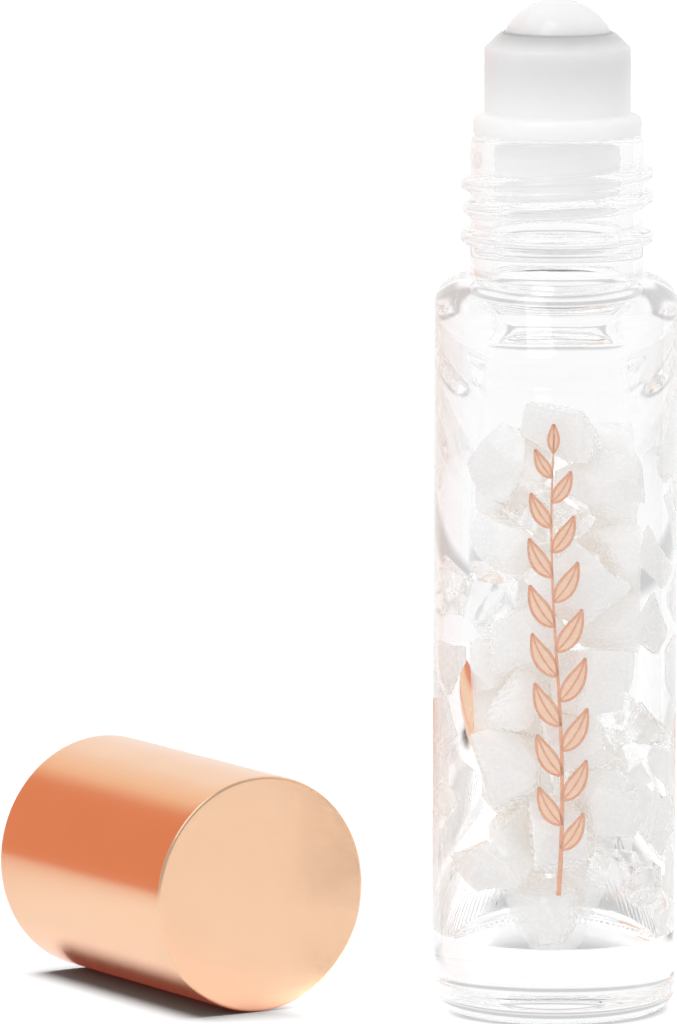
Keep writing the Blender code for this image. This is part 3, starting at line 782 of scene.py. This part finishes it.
bm = bmesh.new()
radius = studio["floorRadius"] * mm
bmesh.ops.create_circle(bm, cap_ends=True, segments=studio["floorSides"], radius=radius)
bmesh.ops.translate(bm, vec=(0, 0, -studio["floorDrop"] * mm), verts=bm.verts)
mesh = bpy.data.meshes.new("floor")
bm.to_mesh(mesh)
bm.free()
floor = bpy.data.objects.new("floor", mesh)
bpy.context.scene.collection.objects.link(floor)


# Three masks of a ray. It shows the surroundings when it comes straight, from metal or through glass and
# lights nothing matt on its way, it is seen when it comes from the camera, and reflected off a shiny face
def rayMasks(shader):
    def ray(name):
        return shader.add("ShaderNodeLightPath", output=name)

    seen = ray("Is Camera Ray")
    shows = (seen + ray("Is Glossy Ray") + ray("Is Transmission Ray") > 0.5) * (ray("Diffuse Depth") < 0.5)
    return shows, seen, ray("Is Reflection Ray")


# A sun that lights the floor alone, so that the cap throws its shadow but the object gets no more light
aside, behind = (math.radians(studio[name]) for name in ("sunAside", "sunBehind"))
sunTilt = Matrix.Rotation(-aside, 3, "Y") @ Matrix.Rotation(-behind, 3, "X")
floorLight = studio["worldPlain"] + studio["sunShare"] * sunTilt[2][2]
shader = newShader("paleFloor")
shows, seen, reflected = rayMasks(shader)
plain, shown, white = (grey(studio[name] / floorLight) for name in ("floorPlain", "floorShown", "floorSeen"))
card = tuple(c / floorLight for c in studio["cardColour"][:3]) + (1,)
spot = shader.place()
onCard = reflected * shader.between(shader.axis(spot, "Y"), *studio["cardOnFloor"])
shown = shader.mixed(onCard, shown, card)
colour = shader.mixed(seen, shader.mixed(shows, plain, shown), white)

# Painted shade in the floor's colour under the glass, deepest below the ring that it stands on
away = shader.add("ShaderNodeVectorMath", {"operation": "DISTANCE"}, {
    0: spot, 1: (bottle["x"], bottle["y"], 0),
}, output="Value")
inner, outer = studio["footRadius"]
ring = shader.between(away, inner - studio["ringSoft"], inner + studio["ringSoft"]) * studio["paintedRingShade"]
foot = (studio["paintedFootShade"] + ring) * shader.between(away, outer, outer - studio["footSoft"])
colour = shader.mixed(foot, colour, grey(0))

# A painted glow: a red emission on the floor under the cap, seen only by reflected rays, stands in for the
# light that the cap's metal throws into its own shadow, so the metal mirrors that shadow red
off = shader.axis(spot, "X") - cap["x"]
underCap = reflected * shader.between(off * off, studio["paintedGlowReach"] ** 2, 0)
paintedGlow = shader.mixed(underCap, grey(0), studio["paintedGlowColour"])
floor.data.materials.append(shader.finish(shader.surface(
    Base_Color=colour, Roughness=1, Specular_IOR_Level=0, Emission_Color=paintedGlow, Emission_Strength=1,
)))

sun = bpy.data.lights.new("floorSun", "SUN")
sun.energy = studio["sunShare"] * math.pi
sun.angle = math.radians(studio["sunSoft"])
floorSun = bpy.data.objects.new("floorSun", sun)
bpy.context.scene.collection.objects.link(floorSun)
floorSun.rotation_euler = sunTilt.to_euler()
lit, shading = bpy.data.collections.new("floorSunLights"), bpy.data.collections.new("floorSunIsShadedBy")
lit.objects.link(floor)
for piece in (capShell, capLiner):
    shading.objects.link(piece)
floorSun.light_linking.receiver_collection = lit
floorSun.light_linking.blocker_collection = shading

fill = bpy.data.lights.new("floorFill", "SPOT")  # clears the shadow on the cap's far side
fill.energy = studio["fillWatts"]
fill.spot_size = math.radians(studio["fillDegrees"])
fill.spot_blend = 1
fill.shadow_soft_size = 0
floorFill = bpy.data.objects.new("floorFill", fill)
bpy.context.scene.collection.objects.link(floorFill)
floorFill.location = Vector((*studio["fillSpot"], studio["fillHeight"])) * mm
floorFill.parent = capShell  # rises with the cap, since the lifted cap's shadow needs no such light
floorFill.matrix_parent_inverse = capShell.matrix_basis.inverted()
unshaded = bpy.data.collections.new("floorFillIsShadedBy")
unshaded.objects.link(floor)
floorFill.light_linking.receiver_collection = lit
floorFill.light_linking.blocker_collection = unshaded

world = bpy.data.worlds.new("paleStudio")
bpy.context.scene.world = world
shader = Shader(world)
shows, seen, reflected = rayMasks(shader)
direction = shader.add("ShaderNodeTexCoord", output="Generated")
toX, toY, toZ = (shader.axis(direction, name) for name in "XYZ")
facing = math.radians(sprig["facingDegrees"])
ahead = shader.add("ShaderNodeVectorMath", {"operation": "DOT_PRODUCT"}, {
    0: direction, 1: (-math.cos(facing), -math.sin(facing), 0),
}, output="Value")

# Metal mirrors a room that is darker in front and below. A lifted piece has to mirror a floor that goes on
# past the disc, and at rest that shows in front only
front = 1 - shader.between(ahead, *studio["frontTurn"])
low = 1 - shader.between(toZ, -studio["lowSlope"], studio["lowSlope"])
dark = (1 - front * (1 - studio["frontShown"])) * (1 - low * (1 - studio["lowShown"]))
steep = shader.between(toZ, *studio["steepSlopes"])
aheadLow = front * shader.between(toZ, *studio["aheadSlopes"])
mirrored = 1 - (1 - dark) * (1 - steep) * (1 - aheadLow)

# It also mirrors a coloured card at the far left, which pales towards its right edge
left, right, edge, fade = (
    math.tan(math.radians(angle)) for angle in (studio["cardLeft"], *studio["cardRight"], studio["cardFade"])
)
sideways = toX / toY
cardFoot, cardTop = (math.sin(math.radians(angle)) for angle in studio["cardUp"])
cardHere = (toY > 0) * (sideways > left) * shader.window(toZ, cardFoot, cardTop)
card = shader.mixed(shader.between(sideways, right, edge), studio["cardColour"], studio["cardEdgeColour"])
card = shader.mixed(shader.between(sideways, edge, fade), card, grey(1))
mirror = shader.mixed(cardHere, shader.mixed(mirrored, grey(0), grey(1)), card)

# Glass shows a dim strip just above the horizon, which draws its outlines
foot, top, edge = (math.sin(math.radians(studio[name])) for name in ("gapLow", "gapHigh", "gapEdge"))
gap = shader.between(toZ, foot - edge, foot) - shader.between(toZ, top, top + edge)
through = 1 - gap * (1 - studio["gapShown"])
surround = shader.mixed(reflected, shader.mixed(through, grey(0), grey(1)), mirror)
shown = shader.mixed(seen, surround, grey(studio["floorSeen"]))
light = shader.mixed(shows, grey(studio["worldPlain"]), shown)
background = shader.add("ShaderNodeBackground", {}, {"Color": light, "Strength": 1})
shader.add("ShaderNodeOutputWorld", {}, {"Surface": background})

# The key lamp faces the middle of the bottle from above, on the left of the camera
key = bpy.data.lights.new("keyLamp", "AREA")
key.shape = "RECTANGLE"
key.size, key.size_y = (side * mm for side in studio["keySize"])
key.energy = studio["keyWatts"]
keyLamp = bpy.data.objects.new("keyLamp", key)
bpy.context.scene.collection.objects.link(keyLamp)
upDegrees, leftDegrees = studio["keyDegrees"]
up, left = math.radians(upDegrees), math.radians(sprig["facingDegrees"] - leftDegrees)
away = Vector((math.cos(up) * math.cos(left), math.cos(up) * math.sin(left), math.sin(up)))
keyLamp.location = (Vector((0, 0, studio["keyAim"])) + away * studio["keyDistance"]) * mm
keyLamp.rotation_euler = away.to_track_quat("Z", "Y").to_euler()

camera = {
    "turnDegrees": 31.5, "aside": 17.82, "back": 964.54, "height": 170.6, "pitchDegrees": 7.64,
    "rollDegrees": 0.15, "lens": 416.3, "sensor": 36,
}
lens = bpy.data.cameras.new("camera")
lens.sensor_width = camera["sensor"]
lens.lens = camera["lens"]
cameraObject = bpy.data.objects.new("camera", lens)
bpy.context.scene.collection.objects.link(cameraObject)
turn = math.radians(camera["turnDegrees"])
ahead = Vector((math.sin(turn), math.cos(turn), 0))
right = Vector((math.cos(turn), -math.sin(turn), 0))
eye = Vector((bottle["x"], bottle["y"], camera["height"])) - right * camera["aside"] - ahead * camera["back"]
cameraObject.location = eye * mm
tilt = Matrix.Rotation(math.radians(90 - camera["pitchDegrees"]), 3, "X")
roll = Matrix.Rotation(math.radians(camera["rollDegrees"]), 3, "Z")
cameraObject.rotation_euler = (Matrix.Rotation(-turn, 3, "Z") @ tilt @ roll).to_euler()
bpy.context.scene.camera = cameraObject
bpy.context.scene.view_settings.view_transform = "Standard"

# White chips behind glass need long light paths, and so does light that runs up inside the wall
cycles = bpy.context.scene.cycles
cycles.max_bounces = studio["lightBounces"]
cycles.glossy_bounces = studio["lightBounces"]
cycles.transmission_bounces = studio["lightBounces"]
cycles.diffuse_bounces = studio["diffuseBounces"]
cycles.blur_glossy = 0  # blurred glass would darken what stands in it
print("camera and lamps set")
